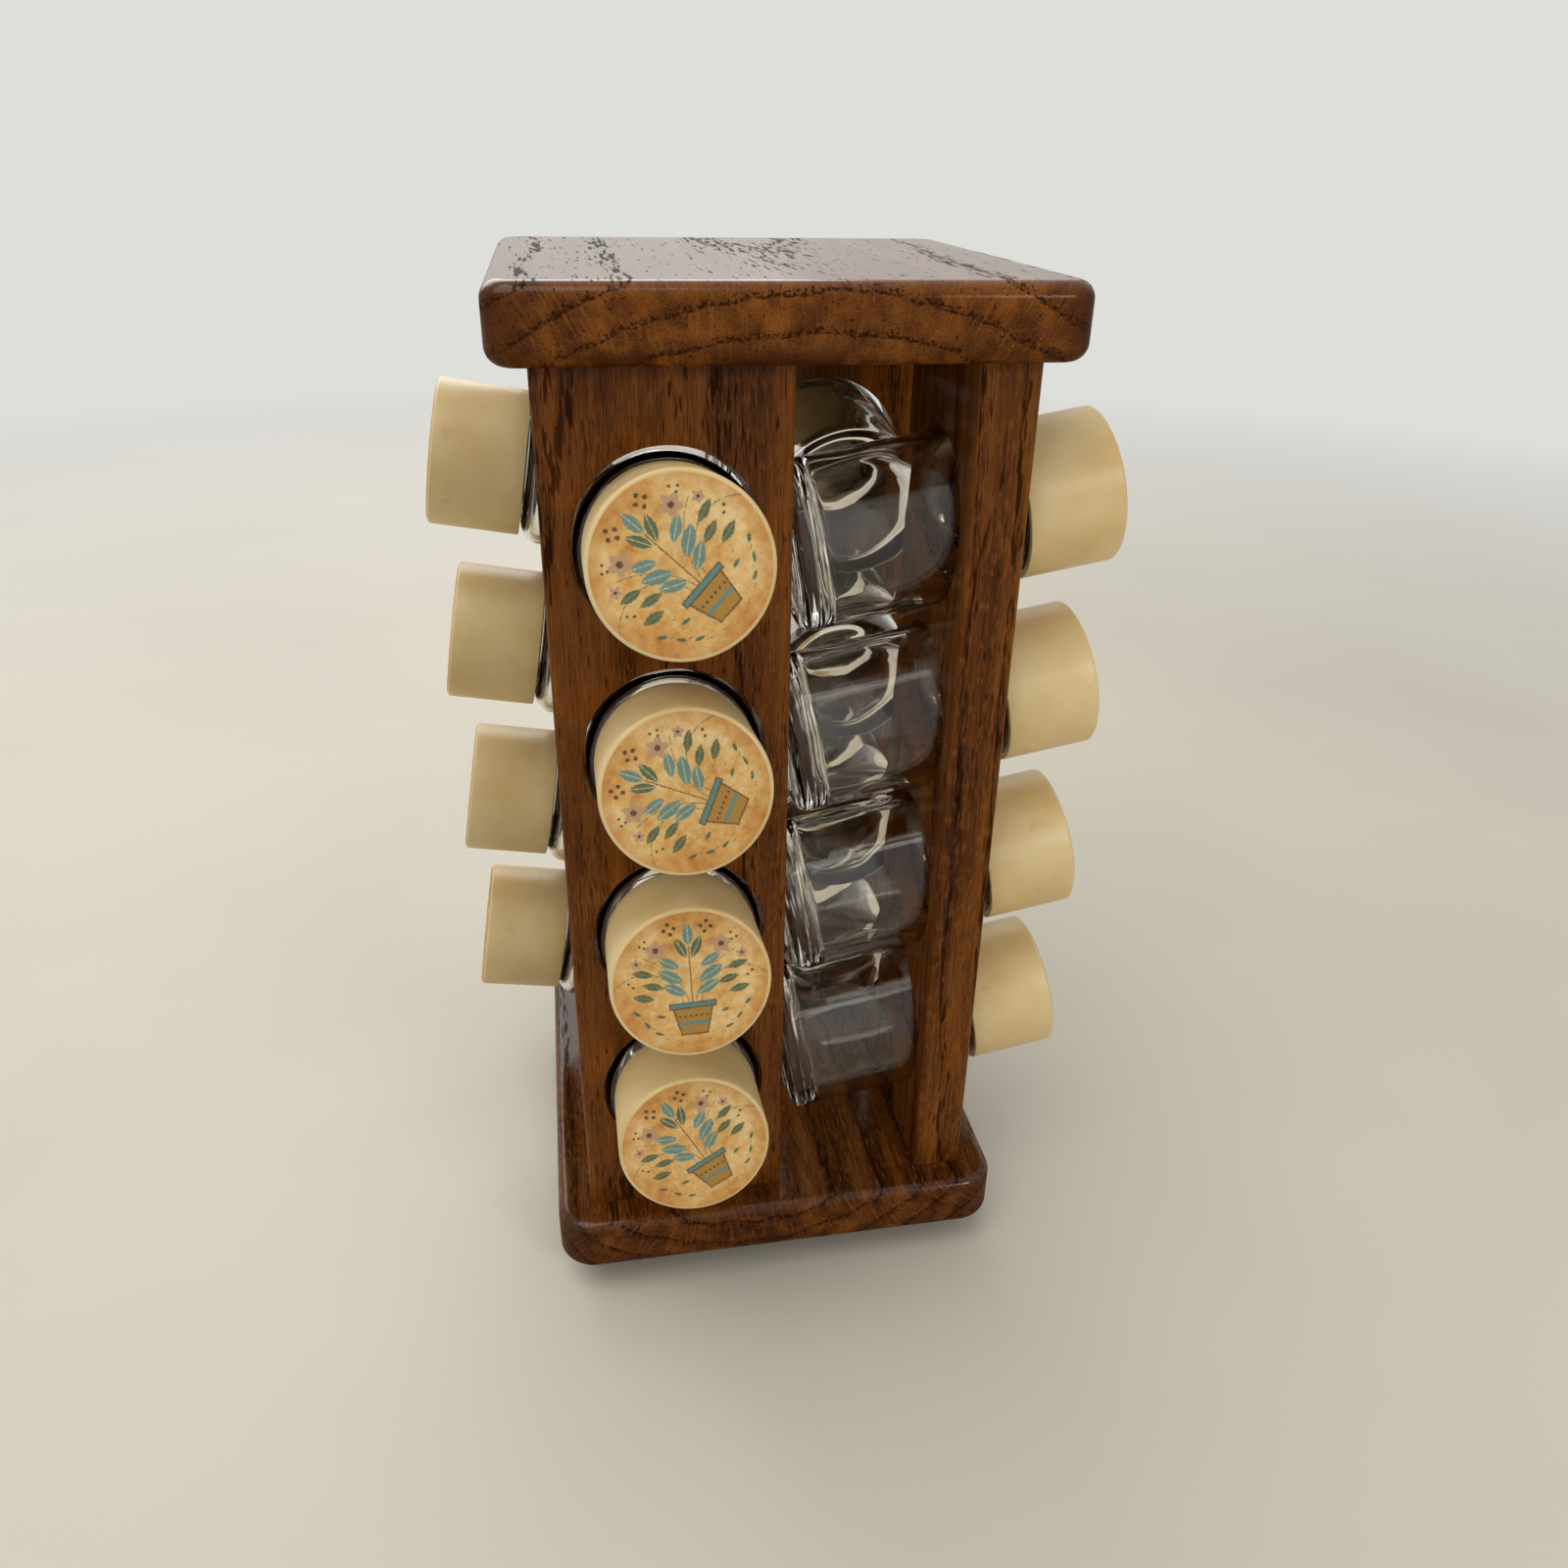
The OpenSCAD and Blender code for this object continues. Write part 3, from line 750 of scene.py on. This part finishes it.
def seat_of(node, out):
    """Turns a round node's own frame into the rack's: on its axis at its inner end, +Z along out."""
    up = (Vector((0, 0, 1)) - out * out.z).normalized()
    side = up.cross(out)
    corners = [vertex.co for vertex in frame["nodes"][node].data.vertices]
    middle = Vector()
    for axis in (side, up):
        spread = [corner.dot(axis) for corner in corners]
        middle += axis * (min(spread) + max(spread)) / 2
    middle += out * min(corner.dot(out) for corner in corners)
    seat = Matrix.Identity(4)
    for column, axis in enumerate((side, up, out, middle)):
        for row in range(3):
            seat[row][column] = axis[row]
    return seat


def outward(place):
    """Direction in which the jar at a place is drawn out, from its joint."""
    for joint in frame["joints"]:
        if joint["name"] == f"jar_{place}_pull":
            return Vector(joint["axis"]).normalized()
    raise RuntimeError(f"no joint draws out the jar at {place}")


def set_out(model, part, finish):
    """Copies a model to all sixteen places, for the node of that part, and removes the model."""
    for place, turn in zip(PLACES, TURNS):
        node = f"{part}_{place}"
        mesh = model.data.copy()
        mesh.name = f"{model.name}_{place}"
        mesh.transform(Matrix.Rotation(math.radians(turn), 4, "Z"))
        mesh.transform(seat_of(node, outward(place)))
        mesh.materials.clear()
        mesh.materials.append(finish)
        piece = bpy.data.objects.new(mesh.name, mesh)
        bpy.context.collection.objects.link(piece)
        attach(piece, f"{'jar' if part == 'jar' else 'cap'}_{place}")
        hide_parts(node)
    bpy.data.objects.remove(model)


def paint(node, material):
    slots = frame["nodes"][node].data.materials
    slots.clear()
    slots.append(material)


class RACK_OT_wood(bpy.types.Operator):
    """Give the uprights, plates and dowels their stained oak and bare wood"""

    bl_idname = "rack.wood"
    bl_label = "Wood"

    def execute(self, context):
        for node, blank in BLANKS.items():
            low, high = (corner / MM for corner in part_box(node))
            paint(node, oak(f"oak_{node}", chosen(), blank, low, high))
        paint("dowels", bare_dowel(chosen()))
        return {"FINISHED"}


class RACK_OT_jars(bpy.types.Operator):
    """Turn the glass jars, with their threads, and set them in the bores"""

    bl_idname = "rack.jars"
    bl_label = "Jars"

    def execute(self, context):
        model = turned("glass", jar_outline(), 72)
        cut_thread(model)
        uneven_inside(model)
        set_out(model, "jar", clear_glass(chosen()))
        return {"FINISHED"}


class RACK_OT_caps(bpy.types.Operator):
    """Turn the ivory caps and close the jars with them"""

    bl_idname = "rack.caps"
    bl_label = "Caps"

    def execute(self, context):
        model = turned("closure", cap_outline(), 96)
        set_out(model, "cap", ivory_plastic(chosen()))
        return {"FINISHED"}


class RACK_OT_labels(bpy.types.Operator):
    """Cut the paper labels, print them and stick them on the caps"""

    bl_idname = "rack.labels"
    bl_label = "Labels"

    def execute(self, context):
        deselect()
        bpy.ops.mesh.primitive_circle_add(vertices=96, radius=LABEL_R * MM, fill_type="NGON", calc_uvs=True)
        model = bpy.context.object
        model.name = "paper"
        bpy.ops.object.mode_set(mode="EDIT")
        bpy.ops.mesh.select_all(action="SELECT")
        bpy.ops.mesh.extrude_region_move(
            TRANSFORM_OT_translate={"value": (0, 0, (LABEL_T - LABEL_EDGE) * MM)})
        bpy.ops.mesh.inset(thickness=LABEL_EDGE * MM, depth=LABEL_EDGE * MM)
        bpy.ops.mesh.select_all(action="SELECT")
        bpy.ops.mesh.normals_make_consistent(inside=False)
        bpy.ops.object.mode_set(mode="OBJECT")
        set_out(model, "label", printed_paper(chosen()))
        return {"FINISHED"}


class RACK_OT_swivel(bpy.types.Operator):
    """Give the swivel its steel and the feet their rubber"""

    bl_idname = "rack.swivel"
    bl_label = "Swivel"

    def execute(self, context):
        steel = plated_steel("plated_steel", tuple(chosen().steel), 0.28, 5.0)
        for node in ("swivel_upper_plate", "swivel_lower_plate", "swivel_screws"):
            paint(node, steel)
        paint("swivel_balls", plated_steel("ball_steel", (0.72, 0.72, 0.73), 0.06, 2.0))
        paint("rubber_feet", black_rubber(chosen()))
        return {"FINISHED"}


class RACK_OT_stage(bpy.types.Operator):
    """Set up the studio floor, the backdrop, the lamps and the camera"""

    bl_idname = "rack.stage"
    bl_label = "Studio"

    def execute(self, context):
        self.floor(context)
        self.lamps(context)
        self.camera(context)
        context.scene.view_settings.view_transform = "Standard"
        return {"FINISHED"}

    def floor(self, context):
        """A pale floor that fades into the backdrop with distance."""
        deselect()
        bpy.ops.mesh.primitive_plane_add(size=FLOOR_SIZE, location=(0, 0, FLOOR_Z * MM))
        ground = bpy.context.object
        ground.name = "studio_floor"
        settle(ground)
        look = Look("studio_floor")
        x, y, z = look.place_mm()
        cloud = look.noise(look.vector(x / 240, y / 240, z / 240), detail=3.0)
        pale = tuple(chosen().floor)
        worn = tuple(0.95 * part for part in pale)
        board = look.node("ShaderNodeBsdfPrincipled", None, {
            "Base Color": look.mix(cloud.ramp(0.35, 0.65), pale, worn),
            "Roughness": 0.45 + cloud * 0.1,
        })
        shown = look.node("ShaderNodeEmission", None, {"Color": chosen().backdrop})
        far = (x * x + y * y).root().ramp(*FLOOR_FADE)
        look.finish(look.node("ShaderNodeMixShader", None, {0: look.seen() * far, 1: board, 2: shown}))
        ground.data.materials.append(look.owner)

    def lamps(self, context):
        for name, place, width, height, power, colour in LAMPS:
            light = bpy.data.lights.new(name, "AREA")
            light.shape = "RECTANGLE"
            light.size = width
            light.size_y = height
            light.energy = power
            light.color = colour
            lamp = bpy.data.objects.new(name, light)
            lamp.location = place
            aim = Vector((0, 0, cad_high.z / 2)) - Vector(place)
            lamp.rotation_euler = aim.to_track_quat("-Z", "Y").to_euler()
            lamp.visible_camera = False
            context.collection.objects.link(lamp)
        look = Look("studio_air", bpy.data.worlds.new("studio_air"))
        air = look.node("ShaderNodeBackground", None, {"Color": AIR_COLOUR, "Strength": AIR_LIGHT})
        shown = look.node("ShaderNodeBackground", None, {"Color": chosen().backdrop})
        look.finish(look.node("ShaderNodeMixShader", None, {0: look.seen(), 1: air, 2: shown}))
        context.scene.world = look.owner

    def camera(self, context):
        """Puts the camera where the picture was taken from."""
        cos_y, sin_y = math.cos(CAMERA_YAW), math.sin(CAMERA_YAW)
        right = Vector((cos_y, sin_y, 0))
        level = Vector((-sin_y, cos_y, 0))
        up = Vector((0, 0, 1))
        ahead = level * math.cos(CAMERA_PITCH) - up * math.sin(CAMERA_PITCH)
        top = up * math.cos(CAMERA_PITCH) + level * math.sin(CAMERA_PITCH)
        rolled_right = right * math.cos(CAMERA_ROLL) + top * math.sin(CAMERA_ROLL)
        rolled_top = top * math.cos(CAMERA_ROLL) - right * math.sin(CAMERA_ROLL)
        place = Matrix.Identity(4)
        for column, axis in enumerate((rolled_right, rolled_top, -ahead, Vector(CAMERA_AT))):
            for row in range(3):
                place[row][column] = axis[row]
        lens = bpy.data.cameras.new("camera")
        lens.lens = CAMERA_LENS
        lens.sensor_width = 36.0
        lens.clip_start = 0.01
        camera = bpy.data.objects.new("camera", lens)
        camera.matrix_world = place
        context.collection.objects.link(camera)
        context.scene.camera = camera


class RACK_PT_panel(bpy.types.Panel):
    """Lists the rack's pieces and their colours"""

    bl_label = "Spice Rack"
    bl_idname = "RACK_PT_panel"
    bl_space_type = "VIEW_3D"
    bl_region_type = "UI"
    bl_category = "Spice Rack"

    def draw(self, context):
        for operator in OPERATORS:
            self.layout.operator(operator.bl_idname)
        for name in RackLooks.__annotations__:
            self.layout.prop(context.scene.rack_looks, name)


OPERATORS = (RACK_OT_stage, RACK_OT_wood, RACK_OT_jars, RACK_OT_caps, RACK_OT_labels, RACK_OT_swivel)
CLASSES = (RackLooks, *OPERATORS, RACK_PT_panel)


def register():
    for each in CLASSES:
        bpy.utils.register_class(each)
    bpy.types.Scene.rack_looks = bpy.props.PointerProperty(type=RackLooks)


def unregister():
    del bpy.types.Scene.rack_looks
    for each in reversed(CLASSES):
        bpy.utils.unregister_class(each)


def main():
    register()
    bpy.ops.rack.stage()
    bpy.ops.rack.wood()
    bpy.ops.rack.jars()
    bpy.ops.rack.caps()
    bpy.ops.rack.labels()
    bpy.ops.rack.swivel()


if __name__ == "__main__":
    main()
